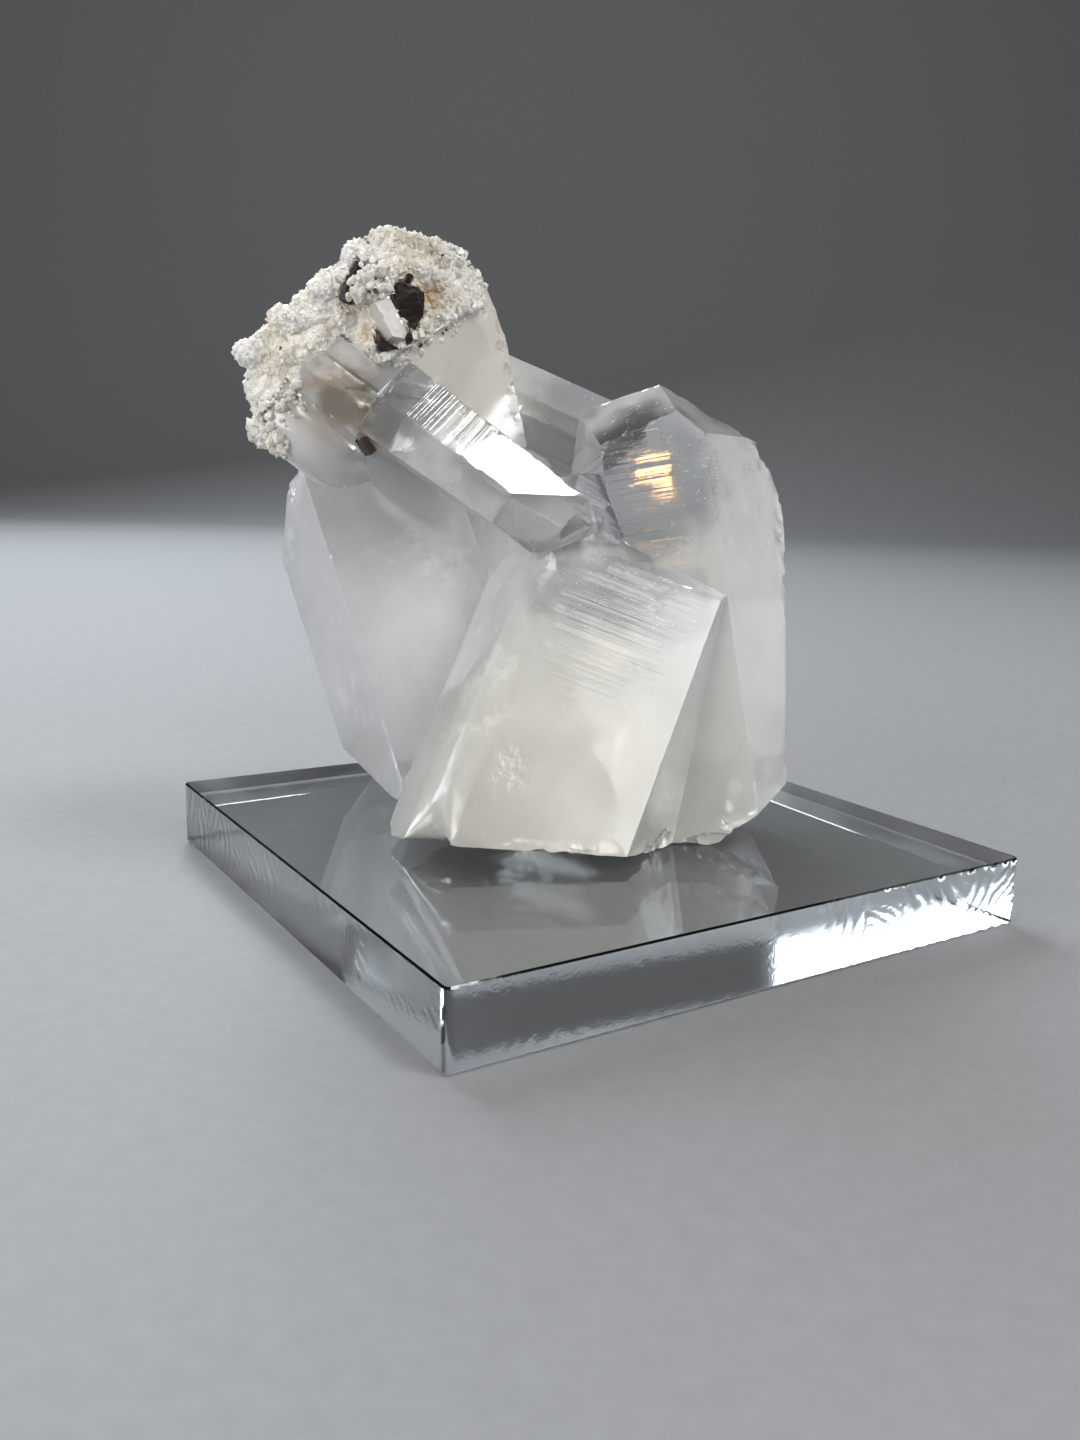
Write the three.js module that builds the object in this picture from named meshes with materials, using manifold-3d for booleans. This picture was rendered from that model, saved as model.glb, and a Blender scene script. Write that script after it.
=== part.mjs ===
// Quartz point cluster on a clear acrylic display base.
// Millimetres, +Z up. The origin is the middle of the base's underside.

import * as THREE from 'three';
import { ConvexGeometry } from 'three/addons/geometries/ConvexGeometry.js';
import { mergeVertices } from 'three/addons/utils/BufferGeometryUtils.js';
import Module from 'manifold-3d';

const wasm = await Module();
wasm.setup();

// Acrylic base: a square of cast sheet with its corners and edges just eased.
const BASE_SIDE = 75;
const BASE_THICKNESS = 8;
const BASE_CORNER_RADIUS = 0.7;
const BASE_EDGE_BREAK = 0.2;

// The cluster stands turned on its base, a hair above the polished top.
const CLUSTER_TURN = -32.5;
const REST_GAP = 0.1;

// Clearance between the quartz and what has grown on it.
const GROWTH_GAP = 0.3;

// A quartz tip face leans back from its side face: the angle between its normal
// and the crystal's long axis is the same on every quartz crystal.
const TIP_ANGLE = 51.8;

// The long axis and side faces of the slender points, all grown parallel.
const POINT_HEADING = -10;
const POINT_RISE = -33.5;

// Each crystal is bounded by flat faces, given in the cluster's own frame
// (+X to the right, +Y to the back, +Z up), in millimetres and degrees:
//   centre    a point on its long axis
//   heading   direction of the long axis around Z, anticlockwise from +X
//   rise      angle of the long axis above the horizontal
//   spin      turn of the side faces about the axis, 0 facing the front
//   taper     lean of the side faces towards the tip
//   sides     distance from the axis to each of the six side faces
//   tips      where each tip face crosses the axis, above the centre
//   foot      length of the crystal below its centre
//   breaks    broken or contact faces as [heading, rise, distance from the centre]
//   rests     true where the crystal is cut off level on the base
const NONE = null;

const rightCrystal = {
  centre: [12, 8, 33],
  heading: 130,
  rise: 75,
  spin: -10,
  sides: [13.3, 13.5, 13.2, 11, 12, 10.3],
  tips: [NONE, 36.2, NONE, 14, NONE, NONE],
  foot: 30,
  breaks: [
    [-123, 42, 22.8],
    [30, 55, 23.8],
    [25, 25, 16.4],
    [5, -2, 13],
    [5, -19, 17.5],
    [-15, -49, 24.8],
    [100, -30, 17],
  ],
  rests: true,
};

const frontCrystal = {
  centre: [-2, 0, 23],
  heading: 50,
  rise: 59,
  spin: -5,
  sides: [13.1, 18, 15, 15, 10.5, 12.6],
  tips: [31.2, NONE, 24, NONE, 24, NONE],
  foot: 30,
  breaks: [[-101, -78, 17]],
  rests: true,
};

// Growth step along the front crystal's left edge.
const frontStep = {
  ...frontCrystal,
  sides: [11.2, 16, 14, 14, 9.6, 13.3],
  tips: [26, NONE, 22, NONE, 22, NONE],
};

// Taller shoulder behind the front crystal's tip, against the right crystal.
const frontShoulder = {
  ...frontCrystal,
  sides: [13, 18, 15, 9, 10.4, 12.5],
  tips: [],
  foot: 0,
  breaks: [
    [-70, 21, 11.7],
    [0, 23, 14.2],
    [90, 80, 26.5],
    [180, 0, 7],
  ],
  rests: false,
};

const leftCrystal = {
  centre: [-20, 12, 27],
  heading: 160,
  rise: 70,
  spin: 12,
  sides: [5, 12, 11, 10.5, 14.7, 9.3],
  tips: [NONE, NONE, 29, NONE, 35.3, NONE],
  foot: 30,
  breaks: [
    [200, -45, 16.8],
    [170, 45, 26.5],
    [235, 40, 24],
    [122, 30, 17.8],
    [95, -25, 17],
  ],
  rests: true,
};

const slenderPoint = {
  centre: [-12, -6, 52.5],
  heading: POINT_HEADING,
  rise: POINT_RISE,
  spin: 22,
  taper: 1.5,
  sides: [7, 6.3, 5, 5, 2.6, 4.4],
  tips: [15.5, NONE, 17, NONE, 17, NONE],
  foot: 11,
};

const clearPoint = {
  centre: [-24, -4, 59],
  heading: POINT_HEADING,
  rise: POINT_RISE,
  spin: 22,
  sides: [2.6, 2.5, 2.5, 2.5, 2.2, 2.4],
  tips: [5, NONE, 5, NONE, 5, NONE],
  foot: 6,
};

const brownPoint = {
  centre: [-25.5, -6, 56],
  heading: POINT_HEADING,
  rise: POINT_RISE,
  spin: 10,
  sides: [3.5, 3, 3, 3, 2.6, 3],
  tips: [6.5, NONE, 6.5, NONE, 6.5, NONE],
  foot: 7,
};

const lowerLobe = {
  centre: [-31, -2, 53],
  heading: POINT_HEADING,
  rise: POINT_RISE,
  spin: 10,
  sides: [4, 4, 4, 4.5, 3.6, 3.6],
  tips: [8, NONE, 8, NONE, 8, NONE],
  foot: 6,
};

const backCrystal = {
  centre: [-3, 18, 55.5],
  heading: POINT_HEADING,
  rise: -22,
  spin: 20,
  sides: [7, 8, 8, 8, 5.6, 5.6],
  tips: [14, NONE, 14, NONE, 14, NONE],
  foot: 16,
};

// Stout upright crystal at the back, between the left and right ones.
const rearCrystal = {
  centre: [-5, 21, 30],
  heading: 215,
  rise: 80,
  spin: 18,
  sides: [12, 11.5, 11, 11.5, 11, 11],
  tips: [32, NONE, 31, NONE, 33, NONE],
  foot: 24,
  breaks: [[85, -35, 20]],
  rests: true,
};

const glassySlab = {
  centre: [-23, -5.5, 67.5],
  heading: POINT_HEADING,
  rise: -60,
  spin: 30,
  sides: [1.6, 1.3, 1.3, 3, 1.3, 1.3],
  tips: [5, NONE, 5, NONE, 5, NONE],
  foot: 4,
};

// Thick milky crystal that carries the crust on its broken root end.
const crustedCrystal = {
  centre: [-24, 8, 60],
  breaks: [
    [-41, 8, 10],
    [15, 13, 15.4],
    [15, 27, 15.7],
    [180, 50, 10.8],
    [90, 85, 13.7],
    [180, 0, 14.1],
    [200, -45, 14.6],
    [-108, 12, 12],
    [68, 8, 12],
    [122, 4, 12.5],
    [0, -90, 7],
  ],
};

const CRYSTALS = [
  rightCrystal,
  frontCrystal,
  frontStep,
  frontShoulder,
  leftCrystal,
  slenderPoint,
  clearPoint,
  brownPoint,
  lowerLobe,
  backCrystal,
  rearCrystal,
  glassySlab,
  crustedCrystal,
];

// The crust is a bed over the root end of the thick crystal, as a solid bounded
// by faces of its own, with rows of rounded lumps half sunk in it.
const crustBed = {
  centre: crustedCrystal.centre,
  breaks: [
    [-41, 8, 11],
    [15, 27, 14.2],
    [180, 50, 12.6],
    [90, 85, 15.2],
    [180, 0, 15.4],
    [-108, 12, 13],
    [68, 8, 10.5],
    [122, 4, 13.5],
    [200, -45, 13.6],
    [26, -62, -3.8],
  ],
};
const CRUST_ROWS = [
  { from: [-38.6, -0.2, 62.6], to: [-25.2, -1.2, 73], lumps: 7, radius: 2.5 },
  { from: [-38.6, 4, 63], to: [-25.2, 3, 73.8], lumps: 7, radius: 2.8 },
  { from: [-38, 8.5, 62.6], to: [-25.2, 8, 73.8], lumps: 6, radius: 2.9 },
  { from: [-36.6, 13, 62], to: [-24.8, 12.5, 73], lumps: 5, radius: 2.9 },
  { from: [-33, 16, 62.4], to: [-24, 16.5, 71.4], lumps: 4, radius: 2.8 },
  { from: [-35.5, 15, 60.5], to: [-27, 19, 66], lumps: 4, radius: 2.4 },
  { from: [-22, 0, 73.8], to: [-16.5, 4.8, 73.8], lumps: 4, radius: 2.3 },
  { from: [-22, 4.5, 74.2], to: [-16.5, 9.5, 73.6], lumps: 4, radius: 2.6 },
  { from: [-22, 9.5, 73.8], to: [-18, 13.5, 73], lumps: 3, radius: 2.7 },
  { from: [-21.5, 14.5, 72.4], to: [-19, 15.5, 71.6], lumps: 2, radius: 2.5 },
  { from: [-38, 0.8, 58.6], to: [-37.8, 11, 58.8], lumps: 5, radius: 2.3 },
  { from: [-37, -0.8, 60], to: [-27, -2.8, 66.4], lumps: 7, radius: 1.9 },
  { from: [-34.5, -0.8, 63.8], to: [-25, -1.8, 71.4], lumps: 7, radius: 2.1 },
  { from: [-20.6, -0.8, 70], to: [-16.4, 4, 71.8], lumps: 5, radius: 1.6 },
  { from: [-23, -2.2, 72], to: [-18.5, 1.2, 72.8], lumps: 5, radius: 1.9 },
];
const LUMP_JITTER = 0.7;
const LUMP_SPREAD = 0.25;

// Dark iron oxide crystals set in the crust: place, half sizes and turns.
const IRON_OXIDE = {
  iron_oxide_block: { at: [-20.6, -3, 67.8], half: [1.7, 1.7, 2.2], turn: [20, 10, 25] },
  iron_oxide_sliver: { at: [-26.4, -3.6, 70.2], half: [0.8, 0.9, 2.3], turn: [0, 25, 15] },
  iron_oxide_slab: { at: [-21.6, -5.6, 64.4], half: [1.9, 1.1, 1.2], turn: [15, -15, 10] },
};

const radians = THREE.MathUtils.degToRad;

// Unit vector at a heading around Z and a rise above the horizontal.
function direction(heading, rise) {
  const level = Math.cos(radians(rise));
  return new THREE.Vector3(
    level * Math.cos(radians(heading)),
    level * Math.sin(radians(heading)),
    Math.sin(radians(rise)),
  );
}

// Faces of a crystal as outward normals with their distance from the origin.
// Every face is moved out by the amount grown.
function crystalFaces(crystal, grown) {
  const centre = new THREE.Vector3(...crystal.centre);
  const faces = [];
  const addFace = (normal, distance) => {
    faces.push({ normal, offset: normal.dot(centre) + distance + grown });
  };
  if (crystal.sides) {
    addPrismFaces(crystal, addFace);
  }
  for (const [heading, rise, distance] of crystal.breaks ?? []) {
    addFace(direction(heading, rise), distance);
  }
  if (crystal.rests) {
    const level = BASE_THICKNESS + REST_GAP - grown;
    faces.push({ normal: new THREE.Vector3(0, 0, -1), offset: -level });
  }
  return faces;
}

// Six side faces, the tip faces above them and the foot.
function addPrismFaces(crystal, addFace) {
  const axis = direction(crystal.heading, crystal.rise);
  const front = new THREE.Vector3(0, -1, 0).projectOnPlane(axis).normalize();
  const taper = radians(crystal.taper ?? 0);
  const tip = radians(TIP_ANGLE);
  crystal.sides.forEach((distance, index) => {
    const outward = front.clone().applyAxisAngle(axis, radians(crystal.spin + 60 * index));
    const side = outward.clone().multiplyScalar(Math.cos(taper));
    side.addScaledVector(axis, Math.sin(taper));
    addFace(side, distance * Math.cos(taper));
    const height = crystal.tips[index] ?? NONE;
    if (height !== NONE) {
      const cap = outward.clone().multiplyScalar(Math.sin(tip));
      cap.addScaledVector(axis, Math.cos(tip));
      addFace(cap, height * Math.cos(tip));
    }
  });
  addFace(axis.clone().negate(), crystal.foot);
}

// The point where three faces meet, or null where they share no single point.
function meetingPoint(a, b, c) {
  const across = new THREE.Vector3().crossVectors(b.normal, c.normal);
  const volume = a.normal.dot(across);
  if (Math.abs(volume) < 1e-5) {
    return NONE;
  }
  const point = across.multiplyScalar(a.offset);
  point.addScaledVector(new THREE.Vector3().crossVectors(c.normal, a.normal), b.offset);
  point.addScaledVector(new THREE.Vector3().crossVectors(a.normal, b.normal), c.offset);
  return point.divideScalar(volume);
}

// Corners of the solid inside all the faces, each one once.
function crystalCorners(faces) {
  const corners = [];
  const inside = (point) => faces.every((face) => face.normal.dot(point) <= face.offset + 1e-5);
  const isNew = (point) => corners.every((corner) => corner.distanceTo(point) > 1e-3);
  for (let i = 0; i < faces.length; i += 1) {
    for (let j = i + 1; j < faces.length; j += 1) {
      for (let k = j + 1; k < faces.length; k += 1) {
        const point = meetingPoint(faces[i], faces[j], faces[k]);
        if (point && inside(point) && isNew(point)) {
          corners.push(point);
        }
      }
    }
  }
  return corners;
}

// A closed solid that can be joined and cut, from a geometry.
function toSolid(geometry) {
  const bare = geometry.clone();
  bare.deleteAttribute('normal');
  bare.deleteAttribute('uv');
  const welded = mergeVertices(bare, 1e-4);
  const mesh = new wasm.Mesh({
    numProp: 3,
    vertProperties: new Float32Array(welded.attributes.position.array),
    triVerts: new Uint32Array(welded.index.array),
  });
  return new wasm.Manifold(mesh);
}

function toGeometry(solid) {
  const mesh = solid.getMesh();
  const geometry = new THREE.BufferGeometry();
  geometry.setAttribute('position', new THREE.BufferAttribute(mesh.vertProperties, 3));
  geometry.setIndex(new THREE.BufferAttribute(mesh.triVerts, 1));
  geometry.computeVertexNormals();
  return geometry;
}

function joined(solids) {
  return solids.reduce((whole, solid) => whole.add(solid));
}

// The largest connected piece, without loose crumbs left by a cut.
function largestPiece(solid) {
  const pieces = solid.decompose();
  return pieces.reduce((best, piece) => (piece.volume() > best.volume() ? piece : best));
}

function crystalSolid(crystal, grown) {
  const corners = crystalCorners(crystalFaces(crystal, grown));
  return toSolid(new ConvexGeometry(corners));
}

function quartzSolid(grown) {
  return joined(CRYSTALS.map((crystal) => crystalSolid(crystal, grown)));
}

// Repeatable numbers between 0 and 1.
function seededRandom(seed) {
  let state = seed;
  return () => {
    state = (state * 1664525 + 1013904223) % 4294967296;
    return state / 4294967296;
  };
}

function crustLumps() {
  const random = seededRandom(11);
  const wander = () => (random() * 2 - 1) * LUMP_JITTER;
  const lumps = [];
  for (const row of CRUST_ROWS) {
    const from = new THREE.Vector3(...row.from);
    const to = new THREE.Vector3(...row.to);
    for (let index = 0; index < row.lumps; index += 1) {
      const place = from.clone().lerp(to, index / (row.lumps - 1));
      place.add(new THREE.Vector3(wander(), wander(), wander()));
      const radius = row.radius * (1 + (random() * 2 - 1) * LUMP_SPREAD);
      const lump = new THREE.IcosahedronGeometry(radius, 1);
      lump.rotateX(random() * Math.PI);
      lump.rotateZ(random() * Math.PI);
      lump.scale(1, 1, 0.9);
      lump.translate(place.x, place.y, place.z);
      lumps.push(toSolid(lump));
    }
  }
  return joined(lumps);
}

// A blocky crystal: an octahedron cut square, grown by an even clearance.
function oxideBlank({ at, half, turn }, grown) {
  const block = new THREE.BoxGeometry(...half.map((size) => 2 * (size + grown)));
  const bevel = new THREE.OctahedronGeometry(1);
  bevel.scale(...half.map((size) => 2.05 * (size + grown)));
  const place = (geometry) => {
    geometry.rotateX(radians(turn[0]));
    geometry.rotateY(radians(turn[1]));
    geometry.rotateZ(radians(turn[2]));
    geometry.translate(...at);
    return toSolid(geometry);
  };
  return place(block).intersect(place(bevel));
}

// Square plate with eased corners, standing on z = 0.
function basePlate() {
  const half = BASE_SIDE / 2 - BASE_EDGE_BREAK;
  const straight = half - BASE_CORNER_RADIUS;
  const outline = new THREE.Shape();
  const corners = [
    [straight, straight, 0],
    [-straight, straight, 90],
    [-straight, -straight, 180],
    [straight, -straight, 270],
  ];
  for (const [x, y, start] of corners) {
    outline.absarc(x, y, BASE_CORNER_RADIUS, radians(start), radians(start + 90));
  }
  const plate = new THREE.ExtrudeGeometry(outline, {
    depth: BASE_THICKNESS - 2 * BASE_EDGE_BREAK,
    bevelThickness: BASE_EDGE_BREAK,
    bevelSize: BASE_EDGE_BREAK,
    bevelSegments: 1,
    curveSegments: 5,
  });
  plate.translate(0, 0, BASE_EDGE_BREAK);
  return plate;
}

function part(name, geometry, colour, roughness) {
  const finish = { color: colour, roughness, metalness: 0, flatShading: true };
  const material = new THREE.MeshStandardMaterial(finish);
  const mesh = new THREE.Mesh(geometry, material);
  mesh.name = name;
  return mesh;
}

const quartz = quartzSolid(0);
const quartzClearance = quartzSolid(GROWTH_GAP);

const cluster = new THREE.Group();
cluster.rotation.z = radians(CLUSTER_TURN);
cluster.add(part('quartz_cluster', toGeometry(quartz), 0xdfe2e6, 0.08));

let crust = crystalSolid(crustBed, 0).add(crustLumps()).subtract(quartzClearance);
for (const [name, oxide] of Object.entries(IRON_OXIDE)) {
  const piece = largestPiece(oxideBlank(oxide, 0).subtract(quartzClearance));
  cluster.add(part(name, toGeometry(piece), 0x2b1714, 0.5));
  crust = crust.subtract(oxideBlank(oxide, GROWTH_GAP));
}
cluster.add(part('drusy_crust', toGeometry(largestPiece(crust)), 0xe9e3d3, 0.65));

const specimen = new THREE.Group();
specimen.add(part('acrylic_base', toGeometry(toSolid(basePlate())), 0xe3e9ec, 0.05));
specimen.add(cluster);

export default specimen;
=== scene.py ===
"""Quartz point cluster on a clear acrylic base: surface finish, light and camera."""

import math

import bmesh
import bpy
import numpy as np
from mathutils import Matrix, Vector
from mathutils.bvhtree import BVHTree


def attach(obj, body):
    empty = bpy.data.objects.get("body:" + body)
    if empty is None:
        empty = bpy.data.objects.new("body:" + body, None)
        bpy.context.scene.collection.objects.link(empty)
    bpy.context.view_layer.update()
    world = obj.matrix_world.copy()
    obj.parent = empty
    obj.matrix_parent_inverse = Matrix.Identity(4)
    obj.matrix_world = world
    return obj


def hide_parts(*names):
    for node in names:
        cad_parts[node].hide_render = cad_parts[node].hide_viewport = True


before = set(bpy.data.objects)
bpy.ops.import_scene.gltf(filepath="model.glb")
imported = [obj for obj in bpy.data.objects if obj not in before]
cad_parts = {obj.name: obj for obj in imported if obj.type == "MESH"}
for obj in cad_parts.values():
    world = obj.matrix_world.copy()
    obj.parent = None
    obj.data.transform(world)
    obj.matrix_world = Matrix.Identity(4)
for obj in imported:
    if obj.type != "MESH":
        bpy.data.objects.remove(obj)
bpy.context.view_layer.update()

MM = 0.001

# The cluster's own frame is turned about Z on its base, in degrees.
CLUSTER_TURN = -32.5

# Camera, solved from the corners of the base (row frame, millimetres and degrees).
CAMERA_PLACE = (-82.3, -121.3, 51.0)
CAMERA_HEADING = 57.5
CAMERA_DIP = 11.85
CAMERA_ROLL = 1.58
CAMERA_LENS = 30.47
CAMERA_SENSOR = 36.0
CAMERA_NEAR = 0.005
LIGHT_BOUNCES = 6

# Long axes of the crystals, as heading and rise in the cluster's frame, with the
# point (millimetres) that each one passes through and how far its faces reach.
CRYSTAL_AXES = {
    "right": ((12, 8, 33), 130, 75, 40),
    "front": ((-2, 0, 23), 50, 59, 34),
    "left": ((-20, 12, 27), 160, 70, 34),
    "point": ((-14, -6, 53), -10, -33.5, 26),
    "back": ((-3, 18, 55.5), -10, -22, 22),
    "rear": ((-5, 21, 30), 215, 80, 40),
}

# Longest triangle edges of the reworked surfaces, in millimetres.
QUARTZ_EDGE = 0.86
CRUST_EDGE = 0.7
OXIDE_EDGE = 0.3

# Corners of a solid closer than this, in metres, are one; faces that bend less than
# this angle are one flat face.
WELD_GAP = 1e-6
FLAT_ANGLE = 0.5


def row_point(point):
    """Cluster frame, millimetres, to the row frame, metres."""
    turned = Matrix.Rotation(math.radians(CLUSTER_TURN), 3, "Z") @ Vector(point)
    return turned * MM


def direction(heading, rise):
    """Unit vector in the row frame for a heading and rise in the cluster's frame."""
    turn = math.radians(heading + CLUSTER_TURN)
    level = math.cos(math.radians(rise))
    return Vector((level * math.cos(turn), level * math.sin(turn), math.sin(math.radians(rise))))


# Repeatable noise on arrays of points.

def lattice(cells, seed):
    """One repeatable number from 0 to 1 for each whole-number cell."""
    mixed = cells[:, 0] * 127.1 + cells[:, 1] * 311.7 + cells[:, 2] * 74.7 + seed * 19.19
    return np.abs(np.sin(mixed) * 43758.5453) % 1.0


def value_noise(points, seed=0):
    """Smooth noise from 0 to 1, with features about one unit across."""
    cells = np.floor(points)
    part = points - cells
    part = part * part * (3 - 2 * part)
    total = np.zeros(len(points))
    for corner in np.ndindex(2, 2, 2):
        step = np.array(corner)
        weight = np.prod(np.where(step, part, 1 - part), axis=1)
        total += weight * lattice(cells + step, seed)
    return total


def layered_noise(points, seed=0, layers=3):
    """Several octaves of noise, still from 0 to 1."""
    total = np.zeros(len(points))
    reach = 0.0
    for layer in range(layers):
        share = 0.5 ** layer
        total += share * value_noise(points * 2 ** layer, seed + 7 * layer)
        reach += share
    return total / reach


def pattern(points, across, seed, layers):
    """Layered noise on points in metres, with features of a size across in millimetres."""
    return layered_noise(points / (across * MM), seed, layers)


def ramp(values, low, high):
    """Smooth step from 0 at low to 1 at high."""
    part = np.clip((values - low) / (high - low), 0, 1)
    return part * part * (3 - 2 * part)


# Mesh tools, on arrays of points and triangles.

def edge_table(faces):
    """Each edge once, and for every face the numbers of its three edges."""
    pairs = np.sort(faces[:, [[0, 1], [1, 2], [2, 0]]].reshape(-1, 2), axis=1)
    span = int(faces.max()) + 1
    keys, which = np.unique(pairs[:, 0] * span + pairs[:, 1], return_inverse=True)
    return np.stack([keys // span, keys % span], axis=1), which.reshape(-1, 3)


def split_faces(faces, middles):
    """Cuts each triangle at the middles of its marked edges."""
    marked = (middles >= 0).sum(axis=1)
    kept = [faces[marked == 0]]
    for turn in range(3):
        a, b, c = np.roll(faces, -turn, axis=1).T
        ab, bc, ca = np.roll(middles, -turn, axis=1).T
        one = (marked == 1) & (ab >= 0)
        two = (marked == 2) & (ca < 0)
        for corners in ((a, ab, c), (ab, b, c)):
            kept.append(np.stack(corners, axis=1)[one])
        for corners in ((ab, b, bc), (a, ab, bc), (a, bc, c)):
            kept.append(np.stack(corners, axis=1)[two])
    whole = marked == 3
    a, b, c = faces[whole].T
    ab, bc, ca = middles[whole].T
    for corners in ((a, ab, ca), (ab, b, bc), (ca, bc, c), (ab, bc, ca)):
        kept.append(np.stack(corners, axis=1))
    return np.concatenate(kept)


def refine(points, faces, longest):
    """Halves the longest edge of each triangle until none is longer than given."""
    while True:
        edges, which = edge_table(faces)
        ends = points[edges]
        length = np.linalg.norm(ends[:, 0] - ends[:, 1], axis=1)
        longest_side = which[np.arange(len(faces)), np.argmax(length[which], axis=1)]
        long = np.zeros(len(edges), dtype=bool)
        long[longest_side] = True
        long &= length > longest
        if not long.any():
            return points, faces
        middles = np.full(len(edges), -1)
        middles[long] = len(points) + np.arange(long.sum())
        points = np.concatenate([points, ends[long].mean(axis=1)])
        faces = split_faces(faces, middles[which])


def node_arrays(name, longest):
    """The solid of a CAD node, its flat faces cut into small triangles."""
    bm = bmesh.new()
    bm.from_mesh(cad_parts[name].data)
    bmesh.ops.remove_doubles(bm, verts=bm.verts, dist=WELD_GAP)
    bmesh.ops.dissolve_limit(
        bm, angle_limit=math.radians(FLAT_ANGLE), verts=bm.verts, edges=bm.edges
    )
    bmesh.ops.triangulate(bm, faces=bm.faces)
    bm.verts.ensure_lookup_table()
    points = np.array([vert.co for vert in bm.verts])
    faces = np.array([[vert.index for vert in face.verts] for face in bm.faces])
    bm.free()
    return refine(points, faces, longest)


def unit(vectors):
    """Vectors of length one."""
    return vectors / np.maximum(np.linalg.norm(vectors, axis=1), 1e-12)[:, None]


def face_normals(points, faces):
    """Normals of the triangles, as long as twice their area."""
    a, b, c = (points[faces[:, corner]] for corner in range(3))
    return np.cross(b - a, c - a)


def point_normals(points, faces):
    """Outward normals of the points, larger faces counting for more."""
    spread = face_normals(points, faces)
    total = np.zeros_like(points)
    for corner in range(3):
        for side in range(3):
            total[:, side] += np.bincount(faces[:, corner], spread[:, side], len(points))
    return unit(total)


def smoothed(points, faces, weight, rounds):
    """Evens out points by their neighbours, as far as each point's weight says."""
    edges, _ = edge_table(faces)
    ends = np.concatenate([edges, edges[:, ::-1]])
    ends = ends[weight[ends[:, 0]] > 0]
    moved, which = np.unique(ends[:, 0], return_inverse=True)
    count = np.bincount(which)
    share = weight[moved][:, None]
    points = points.copy()
    for _ in range(rounds):
        near = points[ends[:, 1]]
        mean = np.stack([np.bincount(which, near[:, side]) / count for side in range(3)], axis=1)
        points[moved] += (mean - points[moved]) * share
    return points


def sharp_points(points, faces, angle):
    """1 for each point on an outward edge that bends more than the angle, else 0."""
    edges, which = edge_table(faces)
    normals = unit(face_normals(points, faces))
    order = np.argsort(which.ravel(), kind="stable") // 3
    sides = order.reshape(-1, 2)
    bend = np.einsum("ij,ij->i", normals[sides[:, 0]], normals[sides[:, 1]])
    middles = points[faces].mean(axis=1)
    across = middles[sides[:, 1]] - middles[sides[:, 0]]
    outward = np.einsum("ij,ij->i", normals[sides[:, 0]], across) < 0
    on_edge = np.zeros(len(points))
    on_edge[edges[(bend < math.cos(math.radians(angle))) & outward].ravel()] = 1
    return on_edge


def array_mesh(name, points, faces):
    """A mesh from arrays of points and faces."""
    mesh = bpy.data.meshes.new(name)
    mesh.from_pydata(points.tolist(), [], faces.tolist())
    mesh.update()
    return mesh


def new_piece(name, mesh, material, node):
    """Links a mesh as a piece of the object that stands for a CAD node."""
    piece = bpy.data.objects.new(name, mesh)
    bpy.context.scene.collection.objects.link(piece)
    mesh.materials.clear()
    mesh.materials.append(material)
    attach(piece, "root")
    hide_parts(node)


def write_attribute(mesh, name, domain, values):
    """One number for each point or corner, for the materials to read."""
    layer = mesh.attributes.new(name, "FLOAT", domain)
    layer.data.foreach_set("value", np.ascontiguousarray(values, dtype=np.float32))


def write_colour(mesh, name, colours):
    """One colour for each point."""
    layer = mesh.color_attributes.new(name, "FLOAT_COLOR", "POINT")
    full = np.ones((len(colours), 4), dtype=np.float32)
    full[:, :3] = colours
    layer.data.foreach_set("color", full.ravel())


# Shader tools.

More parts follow.
